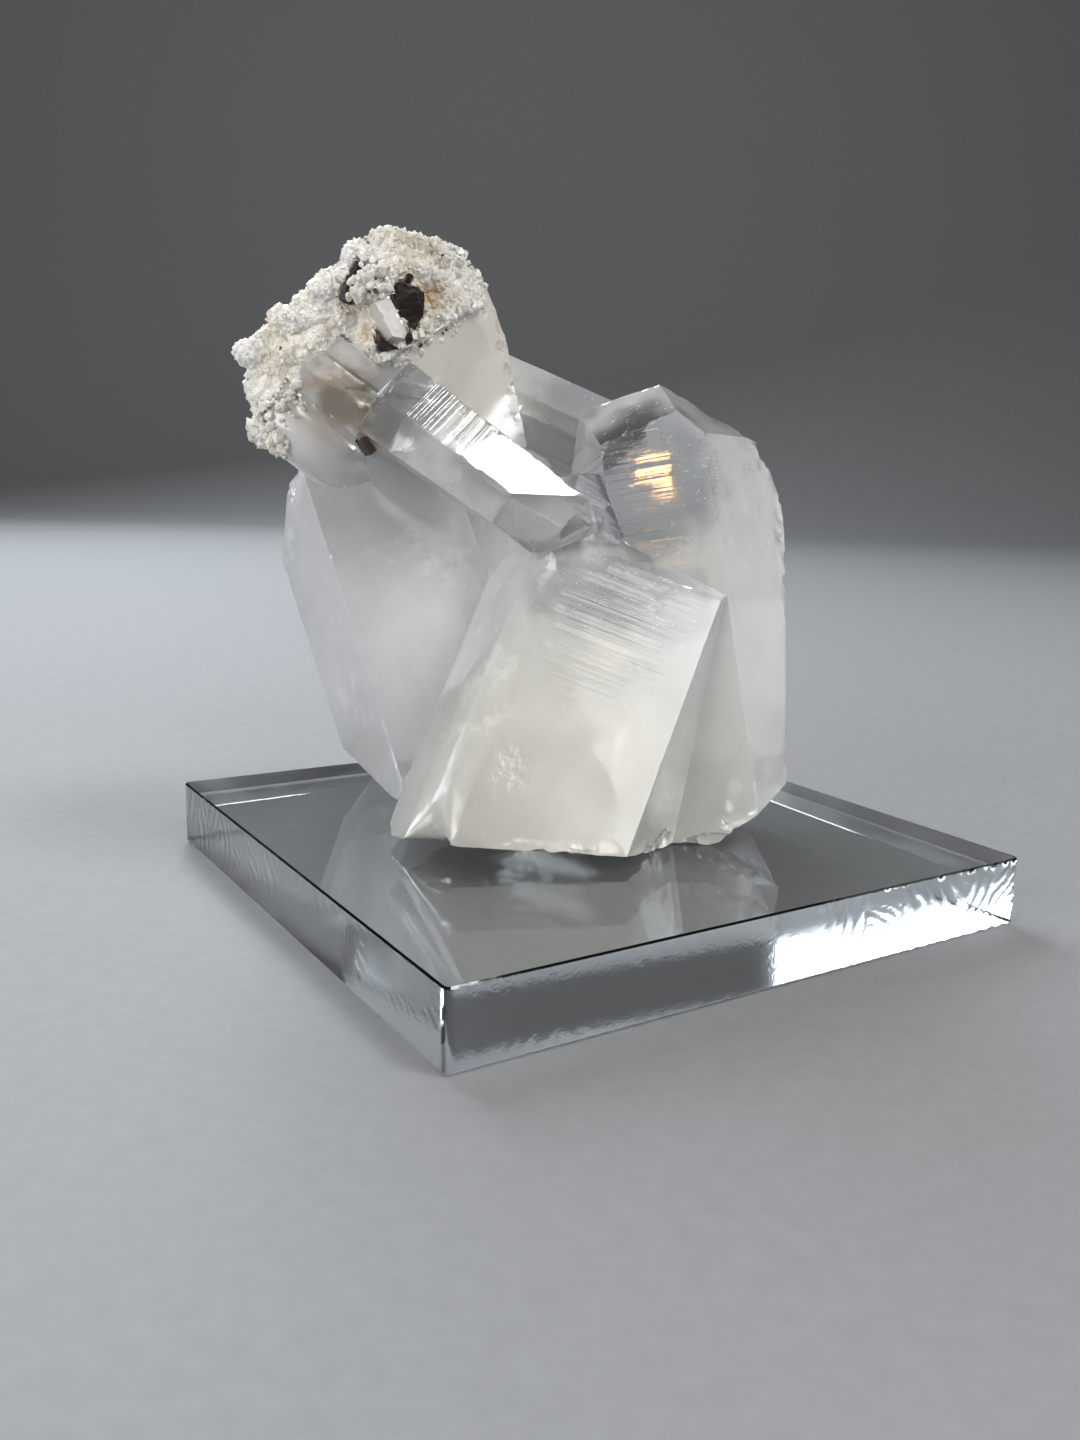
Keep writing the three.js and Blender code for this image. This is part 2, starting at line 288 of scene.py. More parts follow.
class Shader:
    """A node material, whose inputs take numbers, colours or other nodes' outputs."""

    def __init__(self, name):
        self.material = bpy.data.materials.new(name)
        self.material.use_nodes = True
        self.tree = self.material.node_tree
        self.bsdf = self.tree.nodes["Principled BSDF"]

    def give(self, socket, value):
        """Links an output to an input, or sets the input to a number or colour."""
        if isinstance(value, bpy.types.NodeSocket):
            self.tree.links.new(value, socket)
        else:
            socket.default_value = value

    def node(self, kind, inputs, **settings):
        made = self.tree.nodes.new(kind)
        for key, value in settings.items():
            setattr(made, key, value)
        for key, value in inputs.items():
            self.give(made.inputs[key], value)
        return made

    def set(self, **values):
        """Gives values to the surface shader."""
        for key, value in values.items():
            self.give(self.bsdf.inputs[key.replace("_", " ")], value)

    def attribute(self, name, output="Fac"):
        return self.node("ShaderNodeAttribute", {}, attribute_name=name).outputs[output]

    def place(self):
        return self.node("ShaderNodeTexCoord", {}).outputs["Object"]

    def noise(self, vector, scale, detail=3.0, roughness=0.55):
        """Noise in space."""
        inputs = {"Vector": vector, "Scale": scale, "Detail": detail, "Roughness": roughness}
        return self.node("ShaderNodeTexNoise", inputs).outputs["Fac"]

    def lines(self, value, scale, detail, roughness):
        """Noise along one coordinate only: bands and fine lines across it."""
        inputs = {"W": value, "Scale": scale, "Detail": detail, "Roughness": roughness}
        return self.node("ShaderNodeTexNoise", inputs, noise_dimensions="1D").outputs["Fac"]

    def specks(self, vector, scale, core, reach):
        """Scattered dots, their core and reach given as shares of their spacing."""
        cells = self.node("ShaderNodeTexVoronoi", {"Vector": vector, "Scale": scale})
        return self.soft(cells.outputs["Distance"], core, reach, 1.0, 0.0)

    def math(self, operation, first, second):
        return self.node("ShaderNodeMath", {0: first, 1: second}, operation=operation).outputs[0]

    def ramp(self, value, stops):
        """Colours at stops along a value, blended between them."""
        made = self.node("ShaderNodeValToRGB", {"Fac": value})
        elements = made.color_ramp.elements
        while len(elements) < len(stops):
            elements.new(0.5)
        for element, (place, colour) in zip(elements, stops):
            element.position = place
            element.color = (*colour, 1)
        return made.outputs["Color"]

    def span(self, value, low, high):
        """Maps 0 to 1 onto a range."""
        inputs = {"Value": value, "To Min": low, "To Max": high}
        return self.node("ShaderNodeMapRange", inputs).outputs["Result"]

    def soft(self, value, start, stop, low, high):
        """Smooth step from low at the start to high at the stop."""
        ends = {"From Min": start, "From Max": stop, "To Min": low, "To Max": high}
        made = self.node("ShaderNodeMapRange", ends, interpolation_type="SMOOTHSTEP")
        self.give(made.inputs["Value"], value)
        return made.outputs["Result"]

    def mix(self, factor, first, second, blend="MIX"):
        inputs = {"Factor": factor, "A": first, "B": second}
        made = self.node("ShaderNodeMix", inputs, data_type="RGBA", blend_type=blend)
        return made.outputs["Result"]

    def bump(self, height, tall, strength=1.0, over=None):
        """Normals of a relief so many millimetres tall, over other normals if given."""
        inputs = {"Height": height, "Distance": tall * MM, "Strength": strength}
        if over:
            inputs["Normal"] = over
        return self.node("ShaderNodeBump", inputs).outputs["Normal"]

    def absorb(self, colour, density):
        """Loss of light on its way through a clear body."""
        made = self.node("ShaderNodeVolumeAbsorption", {"Color": colour, "Density": density})
        output = self.tree.nodes["Material Output"]
        self.give(output.inputs["Volume"], made.outputs["Volume"])


# Quartz.

QUARTZ_IOR = 1.544
QUARTZ_ABSORBS = (0.86, 0.87, 0.88, 1)
QUARTZ_DENSITY = 60.0
COAT_IOR = 1.5
COAT_ROUGHNESS = 0.03

# Light that the milkiness scatters at most, the roughness that it brings, and the
# least and greatest roughness of the clear faces, with the scale and detail of its noise.
MILK_SCATTER = 0.66
MILK_FROST = 0.19
POLISH = (0.035, 0.07)
POLISH_NOISE = (300, 2)

# Wisps and veils in the milkiness: scale, detail and roughness of each noise, how far
# the wisps change the milk, and where the veils start, end and how much they add.
WISPS = (90, 5, 0.65)
WISP_RANGE = (0.8, 1.2)
VEILS = (230, 5, 0.7)
VEIL_GROUPS = (55, 1)
VEIL_RANGE = (0.3, 0.45)
VEIL_MILK = 0.22

# Growth lines: scale to the millimetre, detail and roughness of their noise, the part
# of it that makes a step, and the height of a step in millimetres.
GROWTH_LINES = (1.4, 3, 0.7)
LINE_RANGE = (0.42, 0.58)
LINE_HEIGHT = 0.035

# Flakes of the feathery fractures: noise and height in millimetres.
FLAKES = (420, 4, 0.6)
FLAKE_HEIGHT = 0.3

# Clouds of milkiness: place in the cluster's frame, reach and strength.
MILK_LEVEL = 0.64
MILK_LEAST = 0.54
MILK_CLOUDS = [
    ((0, -15, 14), 12, 0.2),
    ((16, -6, 18), 12, 0.25),
    ((-24, 6, 32), 18, 0.3),
    ((-13, 5, 65), 9, 0.25),
    ((-35, -4, 55), 6, 0.3),
    ((20, -2, 38), 11, 0.15),
    ((3.9, -10.8, 30.3), 2.4, 0.4),
    ((-22, -5, 67), 3, 0.3),
    ((-10, 8.5, 57.5), 5, 0.4),
]

# Dust: dots to the metre, core and reach as shares of the spacing, and how white it is.
DUST = (1300, 0.09, 0.15)
DUST_WHITE = 0.95

# Windows where the quartz is clear: place, reach and share of the milkiness lost.
CLEAR_WINDOWS = [
    ((7, -1, 49), 11, 1.0),
    ((12, 13, 52), 14, 0.95),
    ((9, 22, 45), 11, 0.85),
    ((-9, -9, 51.5), 8.5, 0.8),
    ((-5, -9.5, 45.5), 7, 0.8),
    ((2, 14, 54), 12, 0.7),
    ((-25, -8, 57), 5, 0.6),
    ((-19.5, -8.5, 58), 7, 0.72),
    ((-30, 18, 44), 8, 0.5),
    ((-10, 27, 46), 9, 0.5),
    ((-1, -8.5, 37), 6.5, 0.3),
    ((4.5, -8.3, 36.5), 6.5, 0.33),
    ((10, -8.3, 36), 6.5, 0.3),
]
# Share of the reach that is wholly clear, and how ragged the windows' borders are.
WINDOW_CORE = 0.6
WINDOW_RAGGED = 2.6

# Feathery fractures just under the surface: place, reach and strength.
FEATHERS = [
    ((-7.4, -16.9, 17.9), 2.6, 1.0),
    ((-11, -14, 13), 2.5, 0.6),
    ((13.6, 1.9, 57.2), 2.5, 0.7),
    ((22, 3, 48), 2.5, 0.35),
    ((-2, -11, 45), 2.2, 0.8),
    ((0.8, -4.6, 42.5), 2.0, 0.7),
    ((-22, -6, 67.3), 3.2, 0.5),
    ((9, -7, 36), 2.0, 0.7),
]

# Where growth lines show plainly, beyond a faint trace everywhere.
STRIATION_TRACE = 0.02
STRIATION_CLOUDS = [
    ((7.5, -2, 49), 8, 0.65),
    ((3, -9, 36), 7, 0.7),
    ((-14, -9, 56), 4.5, 0.22),
    ((-3, 15, 60), 10, 0.15),
    ((-22, -6, 67), 4, 0.8),
]

# Tints of the cloudy quartz and a painted bluish reflection: place, reach and colour.
BODY_TINT = (0.93, 0.93, 0.92)
BODY_TINTS_AND_SHEEN = [
    # Left crystal: painted bluish reflection of the light on its face, not a tint of the quartz.
    ((-24, 6, 32), 16, (0.93, 0.94, 0.96)),
    ((0, -15, 18), 15, (1.0, 0.945, 0.79)),
    ((-14, 3, 64), 10, (0.87, 0.78, 0.64)),
    ((20, -2, 34), 12, (0.95, 0.94, 0.9)),
]
BODY_TINT_WEIGHT = 0.35

# Iron staining on the quartz: place, reach and strength.
STAINS = [
    ((-27.5, -8.5, 59), 3.6, 1.3),
    ((-25, -9.5, 56), 3.6, 1.2),
    ((-18.5, 0, 68.5), 2.5, 0.5),
    ((-33, -3, 58.5), 3, 0.4),
    ((-30, -5, 54), 4, 0.2),
    ((-14, -10, 12), 4, 0.25),
]
STAIN_COLOUR = (0.5, 0.35, 0.21, 1)
STAIN_LEAST = 0.35
STAIN_RANGE = (0.3, 0.65)
STAIN_MOST = 0.85

# Rims that are broken into shell-shaped scallops: points along each rim in the
# cluster's frame, number of scallops and their smallest and largest radius.
BROKEN_RIMS = [
    ([(26.1, 0, 18.9), (22.7, -6, 12.2), (16, -12.6, 8.6), (10.1, -15.3, 8.2)], 40, 0.7, 1.7),
    ([(-13.8, -8.4, 8), (-6.1, -16, 8.8), (-0.1, -20.5, 9), (10.1, -15.3, 8.2)], 34, 0.6, 1.5),
    ([(-22.1, -3, 10.8), (-22.4, -6, 8.3), (-14, -9, 8)], 14, 0.6, 1.4),
    ([(13.4, 9, 61.2), (16.8, 9, 59.4), (19.5, 7, 55.6), (23.9, 6, 52)], 20, 0.8, 2.2),
    ([(-38.3, 10, 44.7), (-36.4, 10, 48.9), (-33, 8, 52)], 10, 0.6, 1.6),
    ([(26, 6, 48), (26.3, 4, 34), (26.3, 2, 22)], 12, 0.5, 1.2),
    ([(-14, 6, 72), (-10.5, 9, 67), (-9, 10, 62), (-8.6, 10, 57)], 26, 0.4, 0.9),
]
PATH_STEPS = 24
SCALLOP_SEED = 5
SCALLOP_DEPTH = 0.26
SCALLOP_STRAY = 0.6
SCALLOP_LIP = 0.2
FRACTURE_REACH = 2.6
FRACTURE_ROUGH = 0.3
FRACTURE_LEVEL = 0.6
FRACTURE_MILK = 0.3
FRACTURE_FEATHER = 0.25

# Relief of the faces, in millimetres, with growth steps to the millimetre and the
# share of the hillocks.
RELIEF = 0.06
STEPS_PER_MM = 0.4
STEP_NOISE = (3, 3)
HILLOCK_SHARE = 0.8

# Wear and nicks of the edges that bend more than an angle, in millimetres.
EDGE_ANGLE = 14
EDGE_WEAR = 0.03
EDGE_NICK = 0.12
NICK_RANGE = (0.62, 0.8)

# Faces that bend more than this angle are shaded with an edge between them.
QUARTZ_SHARP = 17

# How far a side face may lean from its crystal's axis.
SIDE_FIT = 0.12

# Noise on the quartz: size across in millimetres, seed and layers.
HILLOCKS = (5, 9, 2)
NICKS = (1.6, 21, 2)
HACKLES = (1.1, 27, 2)
FINE_WISPS = (4, 31, 3)
BROAD_WISPS = (10, 33, 2)
WINDOW_BORDERS = (3, 37, 4)
STAIN_PATCHES = (1.5, 41, 3)
FINE_WISP_MILK = 0.12
BROAD_WISP_MILK = 0.3

# The slender point keeps keen edges: place and reach.
KEEN_POINT = ((-8, -9, 51), 11)

# The glassy slab between the iron oxide crystals is broken short and lies back:
# its middle, heading and rise, half length, girth and the share of its length lost.
SLAB_MIDDLE = (-23, -5.5, 67.5)
SLAB_LEAN = (-10, -60)
SLAB_HALF = 4.6
SLAB_GIRTH = (2.2, 3.2)
SLAB_LOST = 0.4
SLAB_SET_BACK = 0.7
SLAB_SPARE = 1.0

# The step along the front crystal's left side is soft: its run and reach, and how much
# each of the rounds evens it and how much gloss it loses.
SOFT_STEP = [
    (-6, -6.2, 38),
    (-9.3, -9.6, 30.2),
    (-12.2, -13, 23.2),
    (-15, -16.5, 16),
    (-16.3, -18.3, 12),
]
SOFT_STEP_REACH = 4.0
SOFT_STEP_WEIGHT = 0.5
SOFT_STEP_ROUNDS = 220
SOFT_STEP_DULL = 0.9

# Forms that are rounded instead of sharp: the lobe beside the points and the foot.
ROUNDED = [((-34, -2, 54), 7.5, 0.7), ((-19.5, -8, 9.5), 4.5, 0.6)]
ROUNDED_LEAST = 0.15
ROUNDED_ROUNDS = 40

# Share of a path's reach over which its effect is whole.
PATH_CORE = 0.4


def cloud_field(points, clouds):
    """Sum of soft round clouds at points in the row frame."""
    total = np.zeros(len(points))
    for place, reach, strength in clouds:
        gap = np.linalg.norm(points - np.array(row_point(place)), axis=1)
        total += strength * np.exp(-((gap / (reach * MM)) ** 2))
    return total


def rim_places(path, count):
    """Places spaced evenly along a rim, in the row frame."""
    places = np.array([row_point(point) for point in path])
    steps = np.linspace(0, len(places) - 1, count)
    return np.stack(
        [np.interp(steps, np.arange(len(places)), places[:, side]) for side in range(3)], axis=1
    )


def path_field(points, path, reach):
    """1 along a path in the cluster's frame, fading to 0 at the reach."""
    nearest = np.full(len(points), np.inf)
    for place in rim_places(path, PATH_STEPS):
        nearest = np.minimum(nearest, np.linalg.norm(points - place, axis=1))
    return 1 - ramp(nearest, PATH_CORE * reach * MM, reach * MM)


def rim_field(points, reach):
    """1 on the broken rims, fading to 0 at the reach."""
    return np.max([path_field(points, path, reach) for path, _, _, _ in BROKEN_RIMS], axis=0)


def bite(points, normals):
    """Presses shell-shaped hollows into the broken rims."""
    rng = np.random.default_rng(SCALLOP_SEED)
    for path, count, small, large in BROKEN_RIMS:
        for place in rim_places(path, count):
            radius = rng.uniform(small, large) * MM
            place = place + rng.normal(0, SCALLOP_STRAY * MM, 3)
            seat = np.argmin(np.linalg.norm(points - place, axis=1))
            near = np.linalg.norm(points - points[seat], axis=1) < radius
            outward = normals[near].mean(axis=0)
            outward /= max(np.linalg.norm(outward), 1e-9)
            centre = points[seat] + outward * radius * (1 - SCALLOP_DEPTH)
            offset = points - centre
            gap = np.linalg.norm(offset, axis=1)
            inside = (gap < radius) & (offset @ outward < SCALLOP_LIP * radius)
            points[inside] = centre + offset[inside] * (radius / gap[inside])[:, None]
    return points


def slab_drawn(points):
    """Shortens the glassy slab towards its lower end and sets it back a little."""
    lean = np.array(direction(*SLAB_LEAN))
    offset = points - np.array(row_point(SLAB_MIDDLE))
    along = offset @ lean
    aside = np.linalg.norm(offset - np.outer(along, lean), axis=1)
    share = 1 - ramp(aside / MM, *SLAB_GIRTH)
    share = share * (np.abs(along) < (SLAB_HALF + SLAB_SPARE) * MM)
    shift = np.outer(SLAB_LOST * (SLAB_HALF * MM - along), lean)
    return points + share[:, None] * (shift + np.array(row_point((0, SLAB_SET_BACK, 0))))


def growth_axes(points, faces):
    """For each face: how plainly it is a crystal's side, and that crystal's axis."""
    normals = unit(face_normals(points, faces))
    middles = points[faces].mean(axis=1)
    plain = np.zeros(len(faces))
    axes = np.tile([0.0, 0.0, 1.0], (len(faces), 1))
    for centre, heading, rise, reach in CRYSTAL_AXES.values():
        axis = np.array(direction(heading, rise))
        near = np.linalg.norm(middles - np.array(row_point(centre)), axis=1) < reach * MM
        fit = np.clip(1 - np.abs(normals @ axis) / SIDE_FIT, 0, 1) * near
        better = fit > plain
        plain[better] = fit[better]
        axes[better] = axis
    return plain, axes


def body_and_sheen_colours(points):
    """Tint of the cloudy quartz at each point, and the painted bluish reflection."""
    weights = np.full(len(points), BODY_TINT_WEIGHT)
    total = np.outer(weights, BODY_TINT)
    for place, reach, colour in BODY_TINTS_AND_SHEEN:
        near = cloud_field(points, [(place, reach, 1.0)])
        weights = weights + near
        total = total + np.outer(near, colour)
    return total / weights[:, None]


def quartz_material():
    """Clear quartz with milk, dust, stains, growth lines and flakes."""
    shader = Shader("quartz")
    place = shader.place()

    wisps = shader.span(shader.noise(place, *WISPS), *WISP_RANGE)
    veils = shader.noise(place, *VEILS)
    veils = shader.math("MULTIPLY", veils, shader.noise(place, *VEIL_GROUPS))
    cloudy = shader.math("MULTIPLY", shader.attribute("milk"), wisps)
    cloudy = shader.math("ADD", cloudy, shader.soft(veils, *VEIL_RANGE, 0.0, VEIL_MILK))
    cloudy = shader.math("MINIMUM", cloudy, 1.0)
    dust = shader.math("MULTIPLY", shader.specks(place, *DUST), DUST_WHITE)
    cloudy = shader.math("MAXIMUM", cloudy, dust)
    polish = shader.span(shader.noise(place, *POLISH_NOISE), *POLISH)
    frost = shader.math("MULTIPLY", cloudy, MILK_FROST)

    terraces = shader.lines(shader.attribute("growth"), *GROWTH_LINES)
    terraces = shader.soft(terraces, *LINE_RANGE, 0.0, 1.0)
    lined = shader.math("MULTIPLY", terraces, shader.attribute("striate"))
    grain = shader.math("SUBTRACT", shader.noise(place, *FLAKES), 0.5)
    flakes = shader.math("MULTIPLY", grain, shader.attribute("feather"))
    relief = shader.bump(flakes, FLAKE_HEIGHT, over=shader.bump(lined, LINE_HEIGHT))

    # Body colour: tints of the quartz, and the painted bluish reflection on the left crystal.
    body = shader.attribute("body", "Color")
    shader.set(
        Base_Color=shader.mix(shader.attribute("stain"), body, STAIN_COLOUR),
        Roughness=shader.math("ADD", polish, frost),
        IOR=QUARTZ_IOR,
        Normal=relief,
        Transmission_Weight=shader.math(
            "SUBTRACT", 1.0, shader.math("MULTIPLY", cloudy, MILK_SCATTER)
        ),
        Coat_Weight=shader.attribute("gloss"),
        Coat_Roughness=COAT_ROUGHNESS,
        Coat_IOR=COAT_IOR,
        Coat_Normal=relief,
    )
    shader.absorb(QUARTZ_ABSORBS, QUARTZ_DENSITY)
    return shader.material


def worn_quartz(points, faces, plain, growth):
    """Relief, worn edges, broken rims and soft forms, with the fields that made them."""
    normals = point_normals(points, faces)
    on_edge = sharp_points(points, faces, EDGE_ANGLE)
    striate = np.zeros(len(points))
    height = np.zeros(len(points))
    striate[faces] = plain[:, None]
    height[faces] = growth

    # Growth steps on the side faces, soft hillocks on every face.
    steps = np.stack([height * STEPS_PER_MM, height * 0, height * 0], axis=1)
    relief = striate * (layered_noise(steps, *STEP_NOISE) - 0.5)
    relief += HILLOCK_SHARE * (pattern(points, *HILLOCKS) - 0.5)
    points = points + normals * (relief * RELIEF * MM)[:, None]

    # Edges are worn and nicked, more in some places than in others.
    nick = ramp(pattern(points, *NICKS), *NICK_RANGE)
    nick = nick * (1 - cloud_field(points, [(*KEEN_POINT, 1.0)]))
    wear = on_edge * (EDGE_WEAR + EDGE_NICK * nick) * MM
    points = points - normals * wear[:, None]

    # Broken rims are hollowed and rough, and the lobe is rounded.
    fracture = rim_field(points, FRACTURE_REACH)
    points = bite(points, normals)
    hackly = pattern(points, *HACKLES) - FRACTURE_LEVEL
    points = points + normals * (fracture * hackly * FRACTURE_ROUGH * MM)[:, None]
    points = slab_drawn(points)
    step = path_field(points, SOFT_STEP, SOFT_STEP_REACH)
    points = smoothed(points, faces, SOFT_STEP_WEIGHT * step, SOFT_STEP_ROUNDS)
    lobe = cloud_field(points, ROUNDED)
    lobe = np.where(lobe > ROUNDED_LEAST, lobe, 0)
    return smoothed(points, faces, lobe, ROUNDED_ROUNDS), fracture, step


def milk_field(points, fracture):
    """Milkiness at each point: wisps and clouds, less the clear windows."""
    wisps = FINE_WISP_MILK * (pattern(points, *FINE_WISPS) - 0.5)
    wisps += BROAD_WISP_MILK * (pattern(points, *BROAD_WISPS) - 0.5)
    milk = MILK_LEVEL + cloud_field(points, MILK_CLOUDS) + wisps + FRACTURE_MILK * fracture
    ragged = (pattern(points, *WINDOW_BORDERS) - 0.5) * 2 * WINDOW_RAGGED * MM
    clear = np.zeros(len(points))
    for place, reach, share in CLEAR_WINDOWS:
        gap = np.linalg.norm(points - np.array(row_point(place)), axis=1) + ragged
        inside = 1 - ramp(gap, WINDOW_CORE * reach * MM, reach * MM)
        clear = np.maximum(clear, share * inside)
    return np.maximum(milk, MILK_LEAST) * (1 - clear)


def quartz_piece():
    """All the quartz crystals, with the fields that their material reads."""
    points, faces = node_arrays("quartz_cluster", QUARTZ_EDGE * MM)
    plain, axes = growth_axes(points, faces)
    middles = points[faces].mean(axis=1)
    plain = plain * np.clip(STRIATION_TRACE + cloud_field(middles, STRIATION_CLOUDS), 0, 1)
    growth = np.einsum("ijk,ik->ij", points[faces], axes) / MM
    points, fracture, step = worn_quartz(points, faces, plain, growth)

    mesh = array_mesh("quartz_points", points, faces)
    mesh.shade_smooth()
    mesh.set_sharp_from_angle(angle=math.radians(QUARTZ_SHARP))

    patchy = ramp(pattern(points, *STAIN_PATCHES), *STAIN_RANGE)
    stain = cloud_field(points, STAINS) * (STAIN_LEAST + (1 - STAIN_LEAST) * patchy)
    fields = {
        "milk": milk_field(points, fracture),
        "feather": cloud_field(points, FEATHERS) + FRACTURE_FEATHER * fracture,
        "stain": np.minimum(stain, STAIN_MOST),
        "gloss": 1 - SOFT_STEP_DULL * step,
    }
    for name, values in fields.items():
        write_attribute(mesh, name, "POINT", np.clip(values, 0, 1))
    write_attribute(mesh, "growth", "CORNER", growth.ravel())
    write_attribute(mesh, "striate", "CORNER", np.repeat(plain, 3))
    # The body colour holds the tints and the painted bluish reflection on the left crystal.
    write_colour(mesh, "body", body_and_sheen_colours(points))
    new_piece("quartz_points", mesh, quartz_material(), "quartz_cluster")


# Drusy crust.

CRUST_SEED = 17
CRUST_IOR = 1.54
CRUST_CLEAR = 0.12
CRUST_ROUGHNESS = (0.1, 0.4)
CRUST_GLINTS = (2500, 1)
# Mottling of the crust: noise, two tones and how much of it shows.
CRUST_MOTTLE = (1400, 2)
CRUST_MOTTLE_TONES = [(0.35, (0.9, 0.89, 0.87)), (0.6, (1, 1, 1))]
CRUST_MOTTLED = 0.6
# Pits in the grains: noise, and height in millimetres with strength.
CRUST_PITS = (3000, 2)
CRUST_PIT_RELIEF = (0.02, 0.5)

# Grains: number, height in millimetres, width against height, spread of their lean and
# tone, and the share of them that are large, with what those gain.
GRAIN_PER_SQUARE_MM = 3.2
GRAIN_SIZE = (0.3, 0.8)
GRAIN_WIDTH = (0.9, 1.7)
GRAIN_LEAN = 0.5
GRAIN_TONE = (0.88, 1.06)
LARGE_SHARE = 0.1
LARGE_GAIN = 0.7
SPECK_SHARE = 0.006
# A grain one unit tall: half its width, and where its foot and its point begin.
GRAIN_HALF = 0.42
GRAIN_FOOT = -0.6
GRAIN_SHOULDER = 0.45
# How deep the grains stand in the crust, and in the quartz that they stray onto.
GRAIN_SUNK = 0.7
STRAY_SUNK = 0.2
# No grain is set where quartz lies this close above it, in millimetres.
GRAIN_ROOM = 1.2

# Height of the crust's swellings, depth and relief of the bed between the grains.
SWELL_HEIGHT = 0.8
SWELL_LEVEL = 0.55
BED_DEPTH = 0.02
BED_RELIEF = 0.2

# Noise on the crust: size across in millimetres, seed and layers.
CREAM_PATCHES = (3, 51, 2)
COLD_PATCHES = (2, 57, 2)
RUST_PATCHES = (1.2, 61, 2)
BED_BUMPS = (0.9, 71, 2)
SWELLINGS = (2.0, 73, 3)
CREAM_RANGE = (0.35, 0.75)
COLD_RANGE = (0.6, 0.8)
COLD_MOST = 0.5
RUST_RANGE = (0.25, 0.65)
RUST_MOST = 0.9
CRUST_TINTS = {
    "white": (0.99, 0.975, 0.935),
    "cream": (0.96, 0.91, 0.8),
    "ochre": (0.6, 0.42, 0.2),
    "grey": (0.88, 0.89, 0.9),
    "dark": (0.07, 0.045, 0.035),
}
CRUST_STAINS = [
    ((-25.5, -4.5, 66.5), 2.0, 1.1),
    ((-18, -1, 69), 2.0, 1.0),
    ((-32, -2, 60), 2, 0.5),
    ((-15, 1, 71), 2.5, 0.4),
    ((-20, 2, 74), 5, 0.25),
]

# Grains that stray from the crust onto the quartz beside it: place, reach, count.
STRAY_GRAINS = [
    ((-38, -3, 56.5), 4, 520),
    ((-37, -5, 52.5), 3, 200),
    ((-33, -6, 58.5), 2.6, 110),
    ((-19, -1.5, 65.5), 2.6, 170),
    ((-16, 2.3, 68.5), 2.2, 200),
    ((-13.3, 6.5, 71.5), 2.2, 160),
    ((-21, -4.2, 63.2), 1.8, 90),
]
STRAY_GAP = 2.0
STRAY_SPREAD = 0.5
STRAY_SHARE = (0.4, 1.1)
# Grains heaped above the broken slab: place, reach, count, and where they face.
HEAPED_GRAINS = [((-24.4, -4.7, 70), 1.7, 260)]
HEAP_FACING = (-90, 35)
HEAP_SHARE = (0.6, 1.2)
# Dark specks on the quartz: place and size against a grain's.
DARK_SPECKS = [
    ((-24.2, -8.5, 52.5), 3.0),
    ((-24.9, -8.4, 52.8), 2.2),
    ((-23.6, -8.6, 52.0), 1.1),
    ((-16.5, 2.6, 66.1), 0.5),
    ((-17, 2.2, 65.6), 0.4),
    ((-15.8, 3.2, 65.5), 0.4),
]


def crust_material():
    """White sugary grains, slightly clear."""
    shader = Shader("drusy_crust")
    place = shader.place()
    tint = shader.attribute("tint", "Color")
    mottle = shader.ramp(shader.noise(place, *CRUST_MOTTLE), CRUST_MOTTLE_TONES)
    shader.set(
        Base_Color=shader.mix(CRUST_MOTTLED, tint, mottle, "MULTIPLY"),
        Roughness=shader.span(shader.noise(place, *CRUST_GLINTS), *CRUST_ROUGHNESS),
        IOR=CRUST_IOR,
        Normal=shader.bump(shader.noise(place, *CRUST_PITS), *CRUST_PIT_RELIEF),
        Transmission_Weight=CRUST_CLEAR,
    )
    return shader.material


def grain_form():
    """Corners and faces of one small crystal, pointing along +Z, one unit tall."""
    corners = []
    for height in (GRAIN_FOOT, GRAIN_SHOULDER):
        for turn in range(6):
            angle = math.radians(60 * turn)
            corners.append((GRAIN_HALF * math.cos(angle), GRAIN_HALF * math.sin(angle), height))
    corners.append((0, 0, 1))
    faces = []
    for turn in range(6):
        after = (turn + 1) % 6
        faces.append((turn, after, 6 + after))
        faces.append((turn, 6 + after, 6 + turn))
        faces.append((6 + turn, 6 + after, 12))
    return np.array(corners), np.array(faces)


def node_tree(name):
    """Search tree of a CAD node's faces."""
    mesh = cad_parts[name].data
    corners = [vert.co for vert in mesh.vertices]
    return BVHTree.FromPolygons(corners, [list(face.vertices) for face in mesh.polygons])


def crust_swell(points):
    """Height of the crust's uneven swellings at each point, in metres."""
    return 2 * SWELL_HEIGHT * MM * (pattern(points, *SWELLINGS) - SWELL_LEVEL)


def strewn(groups, rng):
    """Places strewn about the middle of each group, one after the other."""
    for place, reach, count in groups:
        for _ in range(count):
            yield row_point(place) + Vector(rng.normal(0, STRAY_SPREAD * reach * MM, 3))


def crust_seats(rng):
    """Seats of the grains: places, normals, share of full size, depth, and which are dark."""
    shell = node_tree("quartz_cluster")
    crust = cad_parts["drusy_crust"].data
    seats = []
    for face in crust.polygons:
        a, b, c = (Vector(crust.vertices[index].co) for index in face.vertices)
        expected = face.area / MM ** 2 * GRAIN_PER_SQUARE_MM
        for _ in range(int(expected + rng.random())):
            u, v = sorted(rng.random(2))
            spot = a * u + b * (v - u) + c * (1 - v)
            if shell.ray_cast(spot, face.normal, GRAIN_ROOM * MM)[0] is None:
                seats.append((spot, face.normal.copy(), 1.0, GRAIN_SUNK))
    for aim in strewn(STRAY_GRAINS, rng):
        spot, normal, _, gap = shell.find_nearest(aim)
        if gap < STRAY_GAP * MM:
            seats.append((spot, normal, rng.uniform(*STRAY_SHARE), STRAY_SUNK))
    for spot in strewn(HEAPED_GRAINS, rng):
        seats.append((spot, direction(*HEAP_FACING), rng.uniform(*HEAP_SHARE), STRAY_SUNK))
    pale = len(seats)
    for place, share in DARK_SPECKS:
        spot, normal, _, _ = shell.find_nearest(row_point(place))
        seats.append((spot, normal, share, STRAY_SUNK))
    places, normals, shares, sunk = (np.array(column) for column in zip(*seats))
    swelling = (sunk == GRAIN_SUNK) * crust_swell(places)
    places = places + normals * swelling[:, None]
    return places, normals, shares, sunk, np.arange(len(seats)) >= pale


